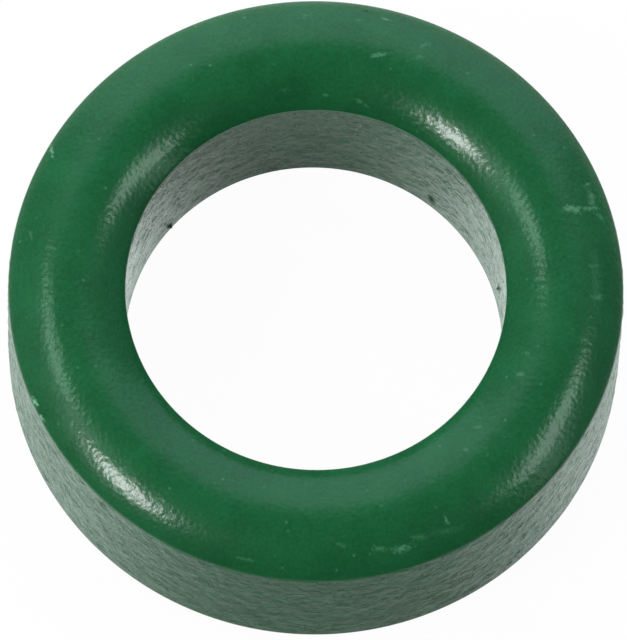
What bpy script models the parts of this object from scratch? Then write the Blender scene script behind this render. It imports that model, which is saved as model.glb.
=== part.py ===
# Ferrite toroid core: one pressed and fired ring under a glossy green epoxy coat.
#
# Both end faces are crowned. Half-way across the ring each crown has a narrow flat land,
# which the core rests on, and from there it falls in an arc to the bore and to the outside.
# The arc meets each straight wall at a definite rim, rounded only by the thickness of the coat.
#
# Origin: on the bore's axis, in the plane of the lower land. +Z runs along the bore.

import math

import bpy

MM = 0.001

# Driving dimensions, over the coat
OUTER_DIAMETER = 22.4 * MM
RING_THICKNESS = 4.27 * MM  # from the bore out to the outer wall
WALL_HEIGHT = 6.23 * MM  # from rim to rim, to the corners that the rim radius takes off
LAND_WIDTH = 0.5 * MM  # of the flat ring on top of each crown
CROWN_SLOPE = math.radians(53)  # how steeply a crown's arc runs down to a rim
RIM_RADIUS = 0.15 * MM  # of the coat over each rim

# Fineness of the round stretches
TURN_STEPS = 96  # round the bore's axis
CROWN_STEPS = 6  # along each half of a crown
RIM_STEPS = 3  # round each rim
WELD = 0.001 * MM  # closes the turn on itself

# Finish of the coat
COAT_COLOUR = (30, 90, 54)  # sRGB, 0 to 255
COAT_ROUGHNESS = 0.25
COAT_METALLIC = 0.0

# The section is symmetric about the middle of the ring, both ways
HALF_THICKNESS = RING_THICKNESS / 2
MIDDLE_RADIUS = OUTER_DIAMETER / 2 - HALF_THICKNESS
CROWN_SPAN = HALF_THICKNESS - LAND_WIDTH / 2  # from the land's edge out to the wall
CROWN_RADIUS = CROWN_SPAN / math.sin(CROWN_SLOPE)
CROWN_RISE = CROWN_RADIUS * (1 - math.cos(CROWN_SLOPE))
OVERALL_HEIGHT = WALL_HEIGHT + 2 * CROWN_RISE


def clear_scene():
    for thing in list(bpy.data.objects):
        bpy.data.objects.remove(thing, do_unlink=True)


def linear(channel):
    """The linear value of an sRGB channel from 0 to 255."""
    share = channel / 255
    return share / 12.92 if share <= 0.04045 else ((share + 0.055) / 1.055) ** 2.4


def coat_material():
    material = bpy.data.materials.new("green_epoxy_coat")
    material.use_nodes = True
    shader = material.node_tree.nodes["Principled BSDF"]
    colour = (*(linear(channel) for channel in COAT_COLOUR), 1)
    shader.inputs["Base Color"].default_value = colour
    shader.inputs["Roughness"].default_value = COAT_ROUGHNESS
    shader.inputs["Metallic"].default_value = COAT_METALLIC
    material.diffuse_color = colour
    return material


def arc(centre, radius, start, end, steps):
    """Points along an arc about a centre, its angles measured from straight up towards the wall."""
    angles = [start + (end - start) * step / steps for step in range(steps + 1)]
    return [(centre[0] + radius * math.sin(a), centre[1] + radius * math.cos(a)) for a in angles]


def quarter_section():
    """The outline from the edge of a land to the end of a wall, measured from the section's middle."""
    crown_centre = (LAND_WIDTH / 2, OVERALL_HEIGHT / 2 - CROWN_RADIUS)
    # the rim's arc touches the wall and the inside of the crown's arc
    across = HALF_THICKNESS - RIM_RADIUS - crown_centre[0]
    up = math.sqrt((CROWN_RADIUS - RIM_RADIUS) ** 2 - across**2)
    rim_centre = (crown_centre[0] + across, crown_centre[1] + up)
    meet = math.atan2(across, up)
    crown = arc(crown_centre, CROWN_RADIUS, 0, meet, CROWN_STEPS)
    rim = arc(rim_centre, RIM_RADIUS, meet, math.pi / 2, RIM_STEPS)
    return crown + rim[1:]


def ring_section():
    """The closed outline: down the outer wall, across the lower crown and up the bore."""
    quarter = quarter_section()
    outer_top = [(u, v) for u, v in quarter]
    outer_bottom = [(u, -v) for u, v in reversed(quarter)]
    bore_bottom = [(-u, -v) for u, v in quarter]
    bore_top = [(-u, v) for u, v in reversed(quarter)]
    return outer_top + outer_bottom + bore_bottom + bore_top


def toroid_core(collection):
    """The ring, turned from its section about the bore's axis."""
    section = ring_section()
    points = [(MIDDLE_RADIUS + u, 0, OVERALL_HEIGHT / 2 + v) for u, v in section]
    edges = [(i, (i + 1) % len(points)) for i in range(len(points))]
    mesh = bpy.data.meshes.new("toroid_core")
    mesh.from_pydata(points, edges, [])
    mesh.materials.append(coat_material())
    core = bpy.data.objects.new("toroid_core", mesh)
    collection.objects.link(core)

    turn = core.modifiers.new("turn", "SCREW")
    turn.axis = "Z"
    turn.angle = math.tau
    turn.steps = turn.render_steps = TURN_STEPS
    turn.use_merge_vertices = True
    turn.merge_threshold = WELD
    turn.use_smooth_shade = True
    return core


def main():
    clear_scene()
    collection = bpy.data.collections.new("ferrite_toroid_core")
    bpy.context.scene.collection.children.link(collection)
    toroid_core(collection)


main()
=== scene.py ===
import math

import bpy
from mathutils import Matrix, Vector


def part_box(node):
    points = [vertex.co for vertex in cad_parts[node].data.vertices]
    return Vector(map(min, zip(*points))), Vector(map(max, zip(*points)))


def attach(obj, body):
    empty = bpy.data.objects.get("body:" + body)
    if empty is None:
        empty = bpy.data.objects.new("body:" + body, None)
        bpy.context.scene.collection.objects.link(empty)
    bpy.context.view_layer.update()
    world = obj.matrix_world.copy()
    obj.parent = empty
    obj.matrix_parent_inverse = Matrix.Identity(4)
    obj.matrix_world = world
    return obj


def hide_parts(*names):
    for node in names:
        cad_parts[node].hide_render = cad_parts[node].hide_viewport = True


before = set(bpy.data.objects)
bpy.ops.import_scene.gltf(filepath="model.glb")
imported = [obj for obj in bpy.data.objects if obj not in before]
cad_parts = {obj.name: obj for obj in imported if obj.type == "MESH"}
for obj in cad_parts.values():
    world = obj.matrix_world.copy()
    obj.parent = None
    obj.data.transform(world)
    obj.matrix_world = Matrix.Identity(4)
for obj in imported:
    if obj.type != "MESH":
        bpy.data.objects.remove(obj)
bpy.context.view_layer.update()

mm = 0.001
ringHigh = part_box("toroid_core")[1]  # the box's low corner is at height 0
outerRadius = ringHigh.x
ringMiddle = Vector((0, 0, ringHigh.z / 2))  # on the bore's axis, half-way up
print("frame loaded:", len(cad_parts), "node")


def pickNothing():
    # an operator acts on all that is selected
    if bpy.context.object and bpy.context.object.mode == "EDIT":
        bpy.ops.object.mode_set(mode="OBJECT")
    bpy.ops.object.select_all(action="DESELECT")


def pickOnly(piece):
    pickNothing()
    piece.select_set(True)
    bpy.context.view_layer.objects.active = piece


def applyModifiers(piece):
    pickOnly(piece)
    for modifier in list(piece.modifiers):
        bpy.ops.object.modifier_apply(modifier=modifier.name)


def linearColour(hexCode):
    # sRGB hex to the linear values that sockets and lamps hold
    shares = [int(hexCode[i:i + 2], 16) / 255 for i in (0, 2, 4)]
    return (*[s / 12.92 if s <= 0.04045 else ((s + 0.055) / 1.055) ** 2.4 for s in shares], 1)


def addNode(tree, kind, settings={}, inputs={}):
    # settings are the node's own; an input is a value, or the output that it is linked to
    node = tree.nodes.new(kind)
    for name, value in settings.items():
        setattr(node, name, value)
    for name, value in inputs.items():
        if isinstance(value, bpy.types.NodeSocket):
            tree.links.new(value, node.inputs[name])
        else:
            node.inputs[name].default_value = value
    return node


# The photograph's view, from far off and well above

view = {
    "photoSize": (627, 640),
    "elevation": 70.7,  # degrees above the table
    "roll": 2.48,  # degrees that the ring is turned in the picture
    "distance": 0.6,  # m, over 50 outer radii, so near and far parts look almost the same size
    "clip": (0.05, 10),  # m
    "outerRadiusPixels": 306.2,
    "middlePixel": (314.7, 317.4),  # where the ring's middle shows
}
tilt, roll = math.radians(view["elevation"]), math.radians(view["roll"])
viewBack = Vector((0, -math.cos(tilt), math.sin(tilt)))  # from the ring to the camera
viewRight = Matrix.Rotation(roll, 3, viewBack) @ Vector((1, 0, 0))
viewUp = viewBack.cross(viewRight)
pixel = outerRadius / view["outerRadiusPixels"]  # metres a pixel, at the ring's middle


def onPhoto(x, y):
    # where a pixel lies on the plane through the ring's middle that faces the camera
    middleX, middleY = view["middlePixel"]
    return ringMiddle + (x - middleX) * pixel * viewRight + (middleY - y) * pixel * viewUp


def makeCamera():
    wide, high = view["photoSize"]
    camera = bpy.data.objects.new("camera", bpy.data.cameras.new("camera"))
    bpy.context.scene.collection.objects.link(camera)
    place = onPhoto(wide / 2, high / 2) + view["distance"] * viewBack
    turn = Matrix((viewRight, viewUp, viewBack)).transposed().to_4x4()
    camera.matrix_world = Matrix.Translation(place) @ turn
    camera.data.lens = camera.data.sensor_width * view["distance"] / (pixel * max(wide, high))
    camera.data.clip_start, camera.data.clip_end = view["clip"]
    bpy.context.scene.camera = camera
    return camera


camera = makeCamera()
print("camera set,", round(camera.data.lens), "mm")


# The ring: ferrite pressed with crowned punches, fired, and coated with epoxy powder

ring = {  # lengths in mm
    "thickness": 4.27,  # from the bore out to the outer wall
    "wallHeight": 6.23,  # from rim to rim
    "rimRadius": 0.2,
    "crownSteps": 12,  # along half a crown
    "rimSteps": 4,  # round a rim
    "wallSteps": 25,  # down half a wall
    "turnSteps": 600,  # round the bore's axis
    "weld": 0.0005,
    "lumpSize": 0.45,  # of the coat's grain on the walls
    "lumpDepth": 0.125,  # from its deepest to its highest
    "smoothBand": 0.3,  # on the walls beside each rim, where the melted coat ran smooth
}


def turnedRing():
    half = ring["thickness"] / 2 * mm
    rise = ringMiddle.z - ring["wallHeight"] / 2 * mm
    rim = ring["rimRadius"] * mm
    crown = (half ** 2 + rise ** 2) / (2 * rise)  # radius of the crown's arc
    middle = outerRadius - half
    crownCentre = Vector((middle, 0, ringHigh.z - crown))
    # the rim's arc touches the wall and the inside of the crown's arc
    across = half - rim
    rimCentre = crownCentre + Vector((across, 0, math.sqrt((crown - rim) ** 2 - across ** 2)))
    meet = math.atan2(across, rimCentre.z - crownCentre.z)
    wallStep = (rimCentre.z - ringMiddle.z) / ring["wallSteps"]

    # a quarter of the section, from the top of the upper crown to half-way down the outer wall
    pickNothing()
    bpy.ops.mesh.primitive_plane_add(size=mm)
    core = bpy.context.object
    core.name = core.data.name = "coatedRing"
    bpy.ops.object.mode_set(mode="EDIT")
    bpy.ops.mesh.select_all(action="SELECT")
    bpy.ops.mesh.merge(type="CENTER")
    bpy.ops.transform.translate(value=(middle, 0, ringHigh.z))
    bpy.ops.mesh.spin(steps=ring["crownSteps"], angle=-meet, center=crownCentre, axis=(0, 1, 0))
    bpy.ops.mesh.spin(steps=ring["rimSteps"], angle=meet - math.pi / 2, center=rimCentre, axis=(0, 1, 0))
    for step in range(ring["wallSteps"]):
        bpy.ops.mesh.extrude_region_move(TRANSFORM_OT_translate={"value": (0, 0, -wallStep)})

    # its mirror images make the section whole: below first, then towards the bore
    sectionMiddle = (middle, 0, ringMiddle.z)
    for mirrored in ((1, 1, -1), (-1, 1, 1)):
        bpy.ops.mesh.select_all(action="SELECT")
        bpy.ops.mesh.duplicate()
        bpy.ops.transform.resize(value=mirrored, center_override=sectionMiddle)
        bpy.ops.mesh.select_all(action="SELECT")
        bpy.ops.mesh.remove_doubles(threshold=ring["weld"] * mm)
    bpy.ops.mesh.spin(steps=ring["turnSteps"], angle=math.tau, center=(0, 0, 0), axis=(0, 0, 1))
    bpy.ops.mesh.select_all(action="SELECT")
    bpy.ops.mesh.remove_doubles(threshold=ring["weld"] * mm)
    bpy.ops.mesh.normals_make_consistent(inside=False)
    bpy.ops.object.mode_set(mode="OBJECT")
    bpy.ops.object.shade_smooth()
    return core


def wallShare(point):
    # 0 on the crowns, rising to 1 on the walls past the smooth band beside each rim
    depth = ring["wallHeight"] / 2 * mm - abs(point.z - ringMiddle.z)
    share = min(1, max(0, depth / (ring["smoothBand"] * mm)))
    return share * share * (3 - 2 * share)


def roughenWalls(core):
    # the coat's grain, as real waves in the mesh
    walls = core.vertex_groups.new(name="walls")
    for vertex in core.data.vertices:
        walls.add([vertex.index], wallShare(vertex.co), "REPLACE")
    lumps = bpy.data.textures.new("coatLumps", "CLOUDS")
    lumps.noise_basis = "IMPROVED_PERLIN"
    lumps.noise_scale = ring["lumpSize"]
    lumps.noise_depth = 1
    grid = bpy.data.objects.new("lumpGrid", None)  # in millimetres
    grid.scale = (mm, mm, mm)
    bpy.context.scene.collection.objects.link(grid)
    bpy.context.view_layer.update()
    grain = core.modifiers.new("grain", "DISPLACE")
    grain.texture = lumps
    grain.texture_coords = "OBJECT"
    grain.texture_coords_object = grid
    grain.vertex_group = walls.name
    grain.strength = ring["lumpDepth"] * mm
    grain.mid_level = 0.5
    applyModifiers(core)
    bpy.data.objects.remove(grid)


core = turnedRing()
print("ring turned,", len(core.data.polygons), "faces")
roughenWalls(core)
print("walls roughened")


# Marks on the coat: pale scuffs and nicks where rings rubbed together, dark specks of grit, and a painted
# highlight, pale strokes along the right lamp's reflection over the front of the crown.
# Each is a stroke between two pixels of the photograph, with its width in pixels and its strength.

scuffsAndPaintedSheen = {
    "leftShoulder": ((51, 144), (53, 158), 5, 0.32),
    "leftEdgeHigh": ((30, 230), (32, 239), 5, 0.08),
    "leftDot": ((50, 247), (56, 249), 4, 0.09),
    "backMiddle": ((280, 90), (288, 90), 5, 0.07),
    "backEdgeLeft": ((301, 15), (309, 15), 5, 0.07),
    "backEdgeRight": ((381, 18), (389, 20), 5, 0.16),
    "backEdgeFleck": ((356, 20), (362, 20), 4, 0.1),
    "backStroke": ((371, 56), (385, 54), 6, 0.2),
    "backRightHigh": ((421, 46), (429, 44), 6, 0.1),
    "backRightLow": ((416, 57), (422, 57), 5, 0.1),
    "innerBackLeft": ((324, 95), (328, 95), 4, 0.15),
    "innerBackMiddle": ((356, 100), (361, 102), 5, 0.15),
    "innerBackRight": ((363, 104), (368, 107), 4, 0.1),
    "rightHigh": ((590, 190), (593, 207), 11, 0.17),
    "rightTop": ((584, 186), (590, 183), 5, 0.16),
    "rightMain": ((566, 208), (580, 210), 10, 0.27),
    "rightLink": ((580, 209), (600, 208), 6, 0.21),
    "rightTail": ((596, 212), (604, 221), 6, 0.15),
    "rightEdgeHigh": ((592, 266), (598, 266), 6, 0.12),
    "rightEdgeLow": ((594, 297), (601, 297), 9, 0.14),
    "rightRub": ((594, 240), (597, 310), 13, 0.05),
    "rimChipHigh": ((33, 399), (37, 405), 6, 0.7),
    "rimChipLow": ((40, 415), (43, 420), 5, 0.6),
    "frontScratchLeft": ((235, 557), (246, 559), 4, 0.12),
    "frontScratchRight": ((244, 559), (254, 561), 4, 0.1),
    "rightSlopeHigh": ((517, 374), (523, 374), 6, 0.12),
    "rightSlopeMiddle": ((475, 427), (480, 427), 5, 0.1),
    "rightSlopeLow": ((464, 449), (470, 451), 5, 0.1),
    # painted highlight: these pale strokes follow the right lamp's reflection trailing over the front of
    # the crown
    "frontPaintedSheen": ((394, 550), (410, 547), 11, 0.22),
    "frontPaintedSheenLeft": ((372, 548), (388, 549), 7, 0.14),
    "frontPaintedSheenRight": ((412, 538), (427, 536), 7, 0.1),
    "frontPaintedSheenEnd": ((434, 533), (462, 528), 9, 0.06),
    "frontTick": ((445, 516), (448, 524), 5, 0.2),
    "rightRimDot": ((581, 340), (587, 340), 5, 0.09),
    "rightDot": ((524, 353), (529, 353), 4, 0.1),
    "frontLine": ((333, 541), (347, 548), 5, 0.08),
}
specks = {
    "backRim": ((364, 11), (368, 11), 3, 0.9),
    "boreBack": ((431, 197), (432, 201), 12, 1),
    "boreRight": ((499, 286), (499, 292), 12, 1),
    "boreBackSmall": ((429, 159), (431, 160), 3, 0.7),
    "boreBackPit": ((400, 135), (402, 135), 3, 0.6),
    "boreBackDot": ((421, 189), (423, 190), 3, 0.6),
    "crumb": ((168, 226), (171, 227), 8, 1),
}


def fromPhoto(x, y):
    # the point of the ring, and its normal, that a pixel of the photograph shows
    eye = camera.matrix_world.translation
    hit, place, normal, face = core.ray_cast(eye, (onPhoto(x, y) - eye).normalized())
    return (place, normal) if hit else None


crumbs = {
    "pixels": ((169.5, 226.5), (499.5, 289)),  # where they sit on the bore's wall
    "radius": 0.15,  # mm
    "height": 0.13,
}


def raiseCrumb(place):
    # a crumb of grit that the coat took up, which stands out into the bore
    towardsAxis = Vector((-place.x, -place.y, 0)).normalized()
    pickOnly(core)
    bpy.ops.object.mode_set(mode="EDIT")
    bpy.ops.mesh.select_all(action="DESELECT")
    bpy.ops.object.mode_set(mode="OBJECT")
    min(core.data.vertices, key=lambda vertex: (vertex.co - place).length).select = True
    bpy.ops.object.mode_set(mode="EDIT")
    bpy.ops.transform.translate(
        value=towardsAxis * crumbs["height"] * mm, use_proportional_edit=True,
        proportional_edit_falloff="SMOOTH", proportional_size=crumbs["radius"] * mm)
    bpy.ops.object.mode_set(mode="OBJECT")
    print("crumb raised at", [round(c / mm, 2) for c in place], "mm")


for spot in crumbs["pixels"]:
    raiseCrumb(fromPhoto(*spot)[0])


strokeShape = {
    "depth": 0.25,  # mm into the surface, at the least
    "lengthPerDepth": 3,  # a long stroke reaches deeper, because the surface curves away under it
    "edge": 1.25,  # half-sizes from its middle, where a mark has faded out
}


def strokeFrame(start, end, width):
    # the stroke's middle, its turn, and its half-sizes along, across and into the surface
    ends = [fromPhoto(*start), fromPhoto(*end)]
    if None in ends:
        print("stroke off the ring:", start, end)
        return None
    (first, firstNormal), (last, lastNormal) = ends
    out = (firstNormal + lastNormal).normalized()
    along = (last - first).normalized()
    side = out.cross(along).normalized()
    turn = Matrix((side.cross(out), side, out)).transposed().to_euler()
    length = (last - first).length
    depth = max(strokeShape["depth"] * mm, length / strokeShape["lengthPerDepth"])
    size = (length / 2 + width * pixel / 2, width * pixel / 2, depth)
    return (first + last) / 2, turn, size


# Green epoxy powder, melted on in a tumbling drum: glossy and even on the crowns, where it ripples
# a lamp's reflection, and grained like orange peel on the walls

coat = {  # lengths in mm
    "colour": "1C5E37",
    "darkColour": "16512E",
    # also of the painted highlight strokes
    "scuffAndSheenColour": "90CEA7",
    # also the colour that the painted shade in the creases darkens towards
    "speckAndCreaseShadeColour": "0C130E",
    "ior": 1.5,  # of cured epoxy
    "roughness": 0.22,
    "scuffAndSheenRoughness": 0.5,
    "speckRoughness": 0.95,  # grit is matt, so no table shows in it
    "ripple": 0.17,  # across a ripple
    "rippleDepth": 0.011,
    "grain": 0.34,  # across the finer grain on the lumps
    "grainDepth": 0.046,
    "wallShade": 0.08,  # how much darker the grained walls are than the crowns
    "paintedCreaseShade": 0.18,  # how dark the painted shade in the creases on the walls is
    "creaseCell": 0.42,  # from one to the next
    "creaseWidth": 0.16,  # from its bottom to where it ends, as a share of a cell
    "creaseBend": 0.3,  # how crooked they run
    "creaseDepth": 0.022,
    "creasePatch": 1.1,  # across the patches where they are deeper
    "creasePatchNoise": (0.35, 0.65),  # of the patches' noise, where creases are faintest and deepest
    "creaseLeast": 0.25,  # how much of a crease is left where it is faintest
    "fray": 0.1,  # across the grain that frays a scuff's edge
    "frayNoise": (0.3, 0.7),  # of that grain, from where it widens a scuff to where it narrows it
    "frayReach": (-0.35, 0.55),  # how far it does, in half-sizes of the scuff
    "dust": 0.6,  # between the tiny pale points all over
    "dustPoint": (0.14, 0.02),  # from its middle to its edge and to its full part, as shares of a cell
    "dustStrength": 0.14,
    "cloud": 1.6,  # across the paler and darker patches of pigment
    "speckle": 0.12,  # across the pigment's own grain
    "pigmentNoise": (0.7, 1.3),  # of both together, where the coat is darkest and palest
}


def marksMask(tree, place, fray, marks):
    # the strength of the strongest mark at each place
    total = None
    for start, end, width, strength in marks.values():
        stroke = strokeFrame(start, end, width)
        if stroke is None:
            continue
        middle, turn, size = stroke
        local = addNode(tree, "ShaderNodeMapping", {"vector_type": "TEXTURE"}, {
            "Vector": place, "Location": middle, "Rotation": turn, "Scale": size})
        away = addNode(tree, "ShaderNodeVectorMath", {"operation": "LENGTH"}, {0: local.outputs["Vector"]})
        frayed = addNode(tree, "ShaderNodeMath", {"operation": "ADD"}, {0: away.outputs["Value"], 1: fray})
        share = addNode(tree, "ShaderNodeMapRange", {"interpolation_type": "SMOOTHSTEP"}, {
            "Value": frayed.outputs[0], "From Min": strokeShape["edge"], "From Max": 0,
            "To Min": 0, "To Max": strength}).outputs["Result"]
        if total is None:
            total = share
        else:
            total = addNode(tree, "ShaderNodeMath", {"operation": "MAXIMUM"}, {
                0: total, 1: share}).outputs[0]
    return total


def coatMaterial():
    material = bpy.data.materials.new("greenEpoxyPowderCoat")
    material.use_nodes = True
    tree = material.node_tree
    shader = tree.nodes["Principled BSDF"]
    place = addNode(tree, "ShaderNodeTexCoord").outputs["Object"]
    height = addNode(tree, "ShaderNodeSeparateXYZ", inputs={"Vector": place}).outputs["Z"]
    fromMiddle = addNode(tree, "ShaderNodeMath", {"operation": "SUBTRACT"}, {0: height, 1: ringMiddle.z})
    fromMiddle = addNode(tree, "ShaderNodeMath", {"operation": "ABSOLUTE"}, {0: fromMiddle.outputs[0]})
    rimHeight = ring["wallHeight"] / 2 * mm
    roughHeight = rimHeight - ring["smoothBand"] * mm
    walls = addNode(tree, "ShaderNodeMapRange", {"interpolation_type": "SMOOTHSTEP"}, {
        "Value": fromMiddle.outputs[0], "From Min": rimHeight, "From Max": roughHeight,
        "To Min": 0, "To Max": 1}).outputs["Result"]

    # how pale the scuffs, the painted highlight strokes and the points of dust make the coat, and how dark
    # the specks
    fray = addNode(tree, "ShaderNodeTexNoise", inputs={
        "Vector": place, "Scale": 1 / (coat["fray"] * mm), "Detail": 2})
    noiseFrom, noiseTo = coat["frayNoise"]
    reachFrom, reachTo = coat["frayReach"]
    fray = addNode(tree, "ShaderNodeMapRange", inputs={
        "Value": fray.outputs["Fac"], "From Min": noiseFrom, "From Max": noiseTo,
        "To Min": reachFrom, "To Max": reachTo})
    scuffAndSheenMask = marksMask(tree, place, fray.outputs["Result"], scuffsAndPaintedSheen)
    specked = marksMask(tree, place, 0, specks)
    points = addNode(tree, "ShaderNodeTexVoronoi", inputs={
        "Vector": place, "Scale": 1 / (coat["dust"] * mm)})
    pointStrength = addNode(tree, "ShaderNodeSeparateColor", inputs={"Color": points.outputs["Color"]})
    pointEdge, pointFull = coat["dustPoint"]
    dust = addNode(tree, "ShaderNodeMapRange", {"interpolation_type": "SMOOTHSTEP"}, {
        "Value": points.outputs["Distance"], "From Min": pointEdge, "From Max": pointFull,
        "To Min": 0, "To Max": coat["dustStrength"]})
    dust = addNode(tree, "ShaderNodeMath", {"operation": "MULTIPLY"}, {
        0: dust.outputs["Result"], 1: pointStrength.outputs["Red"]})
    pale = addNode(tree, "ShaderNodeMath", {"operation": "MAXIMUM"}, {0: scuffAndSheenMask, 1: dust.outputs[0]})

    # the pigment lies a little unevenly, in wide patches and in its own fine grain
    clouds = addNode(tree, "ShaderNodeTexNoise", inputs={
        "Vector": place, "Scale": 1 / (coat["cloud"] * mm), "Detail": 2})
    speckle = addNode(tree, "ShaderNodeTexNoise", inputs={
        "Vector": place, "Scale": 1 / (coat["speckle"] * mm), "Detail": 1})
    uneven = addNode(tree, "ShaderNodeMath", {"operation": "ADD"}, {
        0: clouds.outputs["Fac"], 1: speckle.outputs["Fac"]})
    noiseFrom, noiseTo = coat["pigmentNoise"]
    shade = addNode(tree, "ShaderNodeMapRange", inputs={
        "Value": uneven.outputs[0], "From Min": noiseFrom, "From Max": noiseTo, "To Min": 0, "To Max": 1})
    colour = addNode(tree, "ShaderNodeMix", {"data_type": "RGBA"}, {
        "Factor": shade.outputs["Result"],
        "A": linearColour(coat["darkColour"]), "B": linearColour(coat["colour"])})

    # crooked creases cross the walls, deeper in some patches; painted shade darkens them
    grain = addNode(tree, "ShaderNodeTexNoise", inputs={
        "Vector": place, "Scale": 1 / (coat["grain"] * mm),
        "Detail": 1.6, "Roughness": 0.5, "Distortion": 0.4})
    bend = addNode(tree, "ShaderNodeVectorMath", {"operation": "MULTIPLY_ADD"}, {
        0: grain.outputs["Color"], 1: [coat["creaseBend"] * mm] * 3, 2: place})
    cells = addNode(tree, "ShaderNodeTexVoronoi", {"feature": "DISTANCE_TO_EDGE"}, {
        "Vector": bend.outputs["Vector"], "Scale": 1 / (coat["creaseCell"] * mm)})
    dip = addNode(tree, "ShaderNodeMapRange", {"interpolation_type": "SMOOTHSTEP"}, {
        "Value": cells.outputs["Distance"], "From Min": coat["creaseWidth"], "From Max": 0,
        "To Min": 0, "To Max": 1})
    patches = addNode(tree, "ShaderNodeTexNoise", inputs={
        "Vector": place, "Scale": 1 / (coat["creasePatch"] * mm), "Detail": 1})
    noiseFrom, noiseTo = coat["creasePatchNoise"]
    patches = addNode(tree, "ShaderNodeMapRange", inputs={
        "Value": patches.outputs["Fac"], "From Min": noiseFrom, "From Max": noiseTo,
        "To Min": coat["creaseLeast"], "To Max": 1})
    dip = addNode(tree, "ShaderNodeMath", {"operation": "MULTIPLY"}, {
        0: dip.outputs["Result"], 1: patches.outputs["Result"]})
    dip = addNode(tree, "ShaderNodeMath", {"operation": "MULTIPLY"}, {0: dip.outputs[0], 1: walls})
    wallShade = addNode(tree, "ShaderNodeMath", {"operation": "MULTIPLY"}, {0: walls, 1: coat["wallShade"]})
    # painted shade in the creases, together with the walls' overall darker tone
    paintedCreaseShade = addNode(tree, "ShaderNodeMath", {"operation": "MULTIPLY_ADD"}, {
        0: dip.outputs[0], 1: coat["paintedCreaseShade"], 2: wallShade.outputs[0]})
    colour = addNode(tree, "ShaderNodeMix", {"data_type": "RGBA"}, {
        "Factor": paintedCreaseShade.outputs[0], "A": colour.outputs["Result"], "B": linearColour(coat["speckAndCreaseShadeColour"])})
    colour = addNode(tree, "ShaderNodeMix", {"data_type": "RGBA"}, {
        "Factor": pale.outputs[0], "A": colour.outputs["Result"], "B": linearColour(coat["scuffAndSheenColour"])})
    colour = addNode(tree, "ShaderNodeMix", {"data_type": "RGBA"}, {
        "Factor": specked, "A": colour.outputs["Result"], "B": linearColour(coat["speckAndCreaseShadeColour"])})
    tree.links.new(colour.outputs["Result"], shader.inputs["Base Color"])
    roughness = addNode(tree, "ShaderNodeMix", {"data_type": "FLOAT"}, {
        "Factor": scuffAndSheenMask, "A": coat["roughness"], "B": coat["scuffAndSheenRoughness"]})
    roughness = addNode(tree, "ShaderNodeMix", {"data_type": "FLOAT"}, {
        "Factor": specked, "A": roughness.outputs["Result"], "B": coat["speckRoughness"]})
    tree.links.new(roughness.outputs["Result"], shader.inputs["Roughness"])

    # ripples all over, and the walls' grain and creases on them
    ripples = addNode(tree, "ShaderNodeTexNoise", inputs={
        "Vector": place, "Scale": 1 / (coat["ripple"] * mm), "Detail": 0.6, "Roughness": 0.6})
    rippled = addNode(tree, "ShaderNodeBump", inputs={
        "Height": ripples.outputs["Fac"], "Distance": coat["rippleDepth"] * mm, "Strength": 1})
    grainHeight = addNode(tree, "ShaderNodeMath", {"operation": "MULTIPLY"}, {
        0: grain.outputs["Fac"], 1: walls})
    grained = addNode(tree, "ShaderNodeBump", inputs={
        "Height": grainHeight.outputs[0], "Distance": coat["grainDepth"] * mm, "Strength": 1,
        "Normal": rippled.outputs["Normal"]})
    creased = addNode(tree, "ShaderNodeBump", {"invert": True}, {
        "Height": dip.outputs[0], "Distance": coat["creaseDepth"] * mm, "Strength": 1,
        "Normal": grained.outputs["Normal"]})
    tree.links.new(creased.outputs["Normal"], shader.inputs["Normal"])
    shader.inputs["IOR"].default_value = coat["ior"]
    return material


core.data.materials.clear()
core.data.materials.append(coatMaterial())
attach(core, "root")
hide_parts("toroid_core")
print("coat on,", len(scuffsAndPaintedSheen), "scuffs and", len(specks), "specks")


# Table, room and lamps

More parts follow.
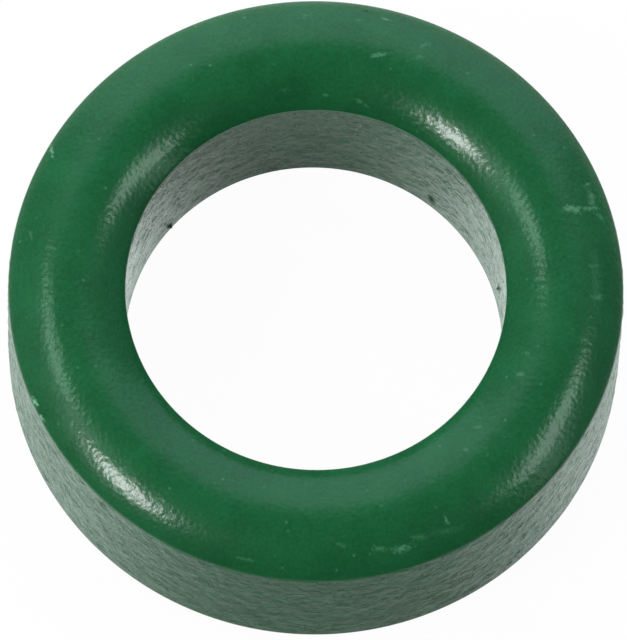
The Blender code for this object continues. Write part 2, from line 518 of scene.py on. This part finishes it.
studio = {
    "tableSize": 3.0,  # m
    "tableDrop": 0.01,  # mm that it lies below the ring
    "tableColour": "F4F4F4",
    "whiteShare": 0.97,  # of the table that shows plain white, the rest keeps the ring's shadow
    "glossShare": 1,  # the same for the table in the coat's gloss
    "glossTint": "F3FFFB",  # of that table
    "glossWhite": 1.0,  # how bright it is in the open
    "glossBore": 1.5,  # painted light: how much brighter inside the bore
    "glossBoreEdge": 1.08,  # and along the bore's wall
    "boreEdge": 1,  # mm off the wall, where the one has passed into the other
    "glossShadow": 0.38,  # how bright in the ring's painted shadow
    "boreShadow": 0.27,  # and in the painted shadow inside the bore
    "ringBlend": 1,  # mm each side of the ring's middle, where bore and outside pass into each other
    "glossFar": 0.5,  # how much of it is left away from the ring, where painted shade darkens it
    "farFade": (6, 34),  # mm from the ring, where it starts to darken and where it ends
    "glossFoot": 0.3,  # painted shade: and under the ring
    "footEdge": (-0.2, 0.2),  # mm past the walls, where the painted shade under the ring starts to clear and ends
    "shadowThrow": (0.12, -0.993, 0),  # the way that the ring's painted shadow falls
    "shadowEdge": (0.44, 1.08),  # cosines of the angle from its middle, where it starts and would be full
    "boreShadowEdge": (0.54, 1.08),  # the same in the bore, from the other way
    "roomTint": "D7E3FF",
    "roomLight": 0.015,  # in front and overhead
    "sideLight": 0.15,  # beside the table
    "sideFade": (-0.4, 0),  # how far back a look points, where that light starts and is full
    "backLight": 0.78,  # a pale panel behind, wider than high, its edges soft
    "panelWidth": 0.9,  # half of it, at a distance of 1
    "panelEdge": (0.12, -0.2),  # past its side edges, where it starts and is full
    "panelTop": (0.78, 0.96),  # heights of the look where it starts to fade, and where it ends
    "lampDistance": 0.4,  # m, as the lamps' sizes are
    "strips": {  # that the gloss mirrors
        "leftLamp": {"towards": (-0.580, -0.374, 0.724), "long": (0.15, 0.78, 0.50), "size": (0.105, 0.07),
                     "radiance": 22},
        "leftHalo": {"towards": (-0.64, -0.22, 0.74), "long": (0.3, 0.85, 0.4), "size": (0.32, 0.22),
                     "radiance": 0.45, "tint": "D0FFE4"},
        "leftSpill": {"towards": (-0.548, 0.145, 0.824), "long": (0.5, 0.8, 0.2), "size": (0.14, 0.055),
                      "radiance": 5.2, "tint": "D8FFE8"},
        "rightLamp": {"towards": (0.690, -0.100, 0.717), "long": (-0.25, 0.90, 0.36), "size": (0.20, 0.08),
                      "radiance": 5.0, "tint": "E8FFF1"},
        "rightSpill": {"towards": (0.871, -0.317, 0.375), "long": (-0.44, 0.52, 0.73), "size": (0.18, 0.09),
                       "radiance": 1.3, "tint": "D0FFE4"},
    },
    "softBoxes": {  # that light the coat and don't show in its gloss
        "backBox": {"towards": (-0.07, 0.8, 0.57), "long": (1, 0, 0), "size": (0.4, 0.36),
                    "radiance": 2.95},
        "leftBox": {"towards": (-0.8, -0.26, 0.54), "long": (-0.3, 0.95, 0), "size": (0.4, 0.3),
                    "radiance": 1.9},
        "rightBox": {"towards": (0.61, -0.43, 0.67), "long": (0.57, 0.82, 0), "size": (0.4, 0.3),
                     "radiance": 0.2},
    },
}


def whenSeen(tree):
    # 1 where the camera looks, straight or through something clear, and 1 where a gloss mirrors
    ray = addNode(tree, "ShaderNodeLightPath").outputs
    seen = addNode(tree, "ShaderNodeMath", {"operation": "MAXIMUM"}, {
        0: ray["Is Camera Ray"], 1: ray["Is Transmission Ray"]})
    return seen.outputs[0], ray["Is Glossy Ray"]


def makeTable():
    pickNothing()
    bpy.ops.mesh.primitive_plane_add(
        size=studio["tableSize"], location=(0, 0, -studio["tableDrop"] * mm))
    table = bpy.context.object
    table.name = "table"
    material = bpy.data.materials.new("paleTable")
    material.use_nodes = True
    tree = material.node_tree
    shader = tree.nodes["Principled BSDF"]
    shader.inputs["Base Color"].default_value = linearColour(studio["tableColour"])
    shader.inputs["Roughness"].default_value = 1
    shader.inputs["Specular IOR Level"].default_value = 0
    seen, mirrored = whenSeen(tree)
    share = addNode(tree, "ShaderNodeMath", {"operation": "MULTIPLY"}, {0: seen, 1: studio["whiteShare"]})
    share = addNode(tree, "ShaderNodeMath", {"operation": "MULTIPLY_ADD"}, {
        0: mirrored, 1: studio["glossShare"], 2: share.outputs[0]})

    # a painted shadow in the table's glow, which only the coat's gloss sees, as if light from behind threw
    # the ring's soft shadow forward:
    # it lies in front of the ring, and in the bore at the back
    place = addNode(tree, "ShaderNodeTexCoord").outputs["Object"]
    away = addNode(tree, "ShaderNodeVectorMath", {"operation": "LENGTH"}, {0: place}).outputs["Value"]
    toFront = addNode(tree, "ShaderNodeVectorMath", {"operation": "NORMALIZE"}, {0: place})
    toFront = addNode(tree, "ShaderNodeVectorMath", {"operation": "DOT_PRODUCT"}, {
        0: toFront.outputs["Vector"], 1: studio["shadowThrow"]})
    shadeFrom, shadeTo = studio["shadowEdge"]
    inFront = addNode(tree, "ShaderNodeMapRange", {"interpolation_type": "SMOOTHSTEP"}, {
        "Value": toFront.outputs["Value"], "From Min": shadeFrom, "From Max": shadeTo,
        "To Min": studio["glossWhite"], "To Max": studio["glossShadow"]})
    shadeFrom, shadeTo = studio["boreShadowEdge"]
    inBore = addNode(tree, "ShaderNodeMapRange", {"interpolation_type": "SMOOTHSTEP"}, {
        "Value": toFront.outputs["Value"], "From Min": -shadeFrom, "From Max": -shadeTo,
        "To Min": studio["glossWhite"], "To Max": studio["boreShadow"]})
    # painted light: brighter inside the bore, off its wall
    boreRadius = outerRadius - ring["thickness"] * mm
    offWall = addNode(tree, "ShaderNodeMapRange", inputs={
        "Value": away, "From Min": boreRadius - studio["boreEdge"] * mm, "From Max": boreRadius,
        "To Min": studio["glossBore"], "To Max": studio["glossBoreEdge"]})
    inBore = addNode(tree, "ShaderNodeMath", {"operation": "MULTIPLY"}, {
        0: inBore.outputs["Result"], 1: offWall.outputs["Result"]})
    middleRadius = outerRadius - ring["thickness"] / 2 * mm
    blend = studio["ringBlend"] * mm
    outside = addNode(tree, "ShaderNodeMapRange", inputs={
        "Value": away, "From Min": middleRadius - blend, "From Max": middleRadius + blend,
        "To Min": 0, "To Max": 1})
    glossWhite = addNode(tree, "ShaderNodeMix", {"data_type": "FLOAT"}, {
        "Factor": outside.outputs["Result"], "A": inBore.outputs[0], "B": inFront.outputs["Result"]})
    # painted shade: the glow dims away from the ring
    fadeFrom, fadeTo = studio["farFade"]
    near = addNode(tree, "ShaderNodeMapRange", {"interpolation_type": "SMOOTHSTEP"}, {
        "Value": away, "From Min": outerRadius + fadeFrom * mm, "From Max": outerRadius + fadeTo * mm,
        "To Min": 1, "To Max": studio["glossFar"]})
    glossWhite = addNode(tree, "ShaderNodeMath", {"operation": "MULTIPLY"}, {
        0: glossWhite.outputs[0], 1: near.outputs["Result"]})
    # painted shade under the ring
    aside = addNode(tree, "ShaderNodeMath", {"operation": "SUBTRACT"}, {0: away, 1: middleRadius})
    aside = addNode(tree, "ShaderNodeMath", {"operation": "ABSOLUTE"}, {0: aside.outputs[0]})
    footFrom, footTo = [(ring["thickness"] / 2 + past) * mm for past in studio["footEdge"]]
    clear = addNode(tree, "ShaderNodeMapRange", {"interpolation_type": "SMOOTHSTEP"}, {
        "Value": aside.outputs[0], "From Min": footFrom, "From Max": footTo,
        "To Min": studio["glossFoot"], "To Max": 1})
    glossWhite = addNode(tree, "ShaderNodeMath", {"operation": "MULTIPLY"}, {
        0: glossWhite.outputs[0], 1: clear.outputs["Result"]})
    strength = addNode(tree, "ShaderNodeMix", {"data_type": "FLOAT"}, {
        "Factor": mirrored, "A": 1, "B": glossWhite.outputs[0]})
    tint = addNode(tree, "ShaderNodeMix", {"data_type": "RGBA"}, {
        "Factor": mirrored, "A": (1, 1, 1, 1), "B": linearColour(studio["glossTint"])})
    white = addNode(tree, "ShaderNodeEmission", inputs={
        "Color": tint.outputs["Result"], "Strength": strength.outputs["Result"]})
    mixed = addNode(tree, "ShaderNodeMixShader", inputs={
        0: share.outputs[0], 1: shader.outputs["BSDF"], 2: white.outputs["Emission"]})
    tree.links.new(mixed.outputs[0], tree.nodes["Material Output"].inputs["Surface"])
    material.cycles.emission_sampling = "NONE"
    table.data.materials.append(material)


def makeRoom():
    # a dark room with a pale panel behind the table; the camera itself sees it white
    world = bpy.data.worlds.new("room")
    world.use_nodes = True
    bpy.context.scene.world = world
    tree = world.node_tree
    tree.nodes.clear()
    look = addNode(tree, "ShaderNodeTexCoord").outputs["Generated"]
    parts = addNode(tree, "ShaderNodeSeparateXYZ", inputs={"Vector": look}).outputs
    fadeFrom, fadeTo = studio["panelTop"]
    low = addNode(tree, "ShaderNodeMapRange", {"interpolation_type": "SMOOTHSTEP"}, {
        "Value": parts["Z"], "From Min": fadeTo, "From Max": fadeFrom, "To Min": 0, "To Max": 1})
    sideFrom, sideTo = studio["sideFade"]
    side = addNode(tree, "ShaderNodeMapRange", {"interpolation_type": "SMOOTHSTEP"}, {
        "Value": parts["Y"], "From Min": sideFrom, "From Max": sideTo,
        "To Min": 0, "To Max": studio["sideLight"]})
    aside = addNode(tree, "ShaderNodeMath", {"operation": "ABSOLUTE"}, {0: parts["X"]})
    pastEdge = addNode(tree, "ShaderNodeMath", {"operation": "MULTIPLY_ADD"}, {
        0: parts["Y"], 1: -studio["panelWidth"], 2: aside.outputs[0]})
    edgeFrom, edgeTo = studio["panelEdge"]
    panel = addNode(tree, "ShaderNodeMapRange", {"interpolation_type": "SMOOTHSTEP"}, {
        "Value": pastEdge.outputs[0], "From Min": edgeFrom, "From Max": edgeTo,
        "To Min": 0, "To Max": studio["backLight"]})
    around = addNode(tree, "ShaderNodeMath", {"operation": "MAXIMUM"}, {
        0: side.outputs["Result"], 1: panel.outputs["Result"]})
    glow = addNode(tree, "ShaderNodeMath", {"operation": "MULTIPLY_ADD"}, {
        0: around.outputs[0], 1: low.outputs["Result"], 2: studio["roomLight"]})
    lit = addNode(tree, "ShaderNodeBackground", inputs={
        "Color": linearColour(studio["roomTint"]), "Strength": glow.outputs[0]})
    white = addNode(tree, "ShaderNodeBackground", inputs={"Color": (1, 1, 1, 1), "Strength": 1})
    mixed = addNode(tree, "ShaderNodeMixShader", inputs={
        0: whenSeen(tree)[0], 1: lit.outputs[0], 2: white.outputs[0]})
    addNode(tree, "ShaderNodeOutputWorld", inputs={"Surface": mixed.outputs[0]})


def makeLamp(name, towards, long, size, radiance, tint="FFFFFF"):
    lamp = bpy.data.objects.new(name, bpy.data.lights.new(name, "AREA"))
    lamp.data.color = linearColour(tint)[:3]
    bpy.context.scene.collection.objects.link(lamp)
    back = Vector(towards).normalized()
    side = (Vector(long) - Vector(long).dot(back) * back).normalized()
    turn = Matrix((side, back.cross(side), back)).transposed().to_4x4()
    lamp.matrix_world = Matrix.Translation(ringMiddle + studio["lampDistance"] * back) @ turn
    lamp.data.shape = "RECTANGLE"
    lamp.data.size, lamp.data.size_y = size
    lamp.data.energy = radiance * math.pi * size[0] * size[1]
    lamp.visible_camera = False
    return lamp


makeTable()
makeRoom()
for name, settings in studio["strips"].items():
    makeLamp(name, **settings)
for name, settings in studio["softBoxes"].items():
    makeLamp(name, **settings).visible_glossy = False
bpy.context.scene.view_settings.view_transform = "Standard"
print("table, room and lamps set")
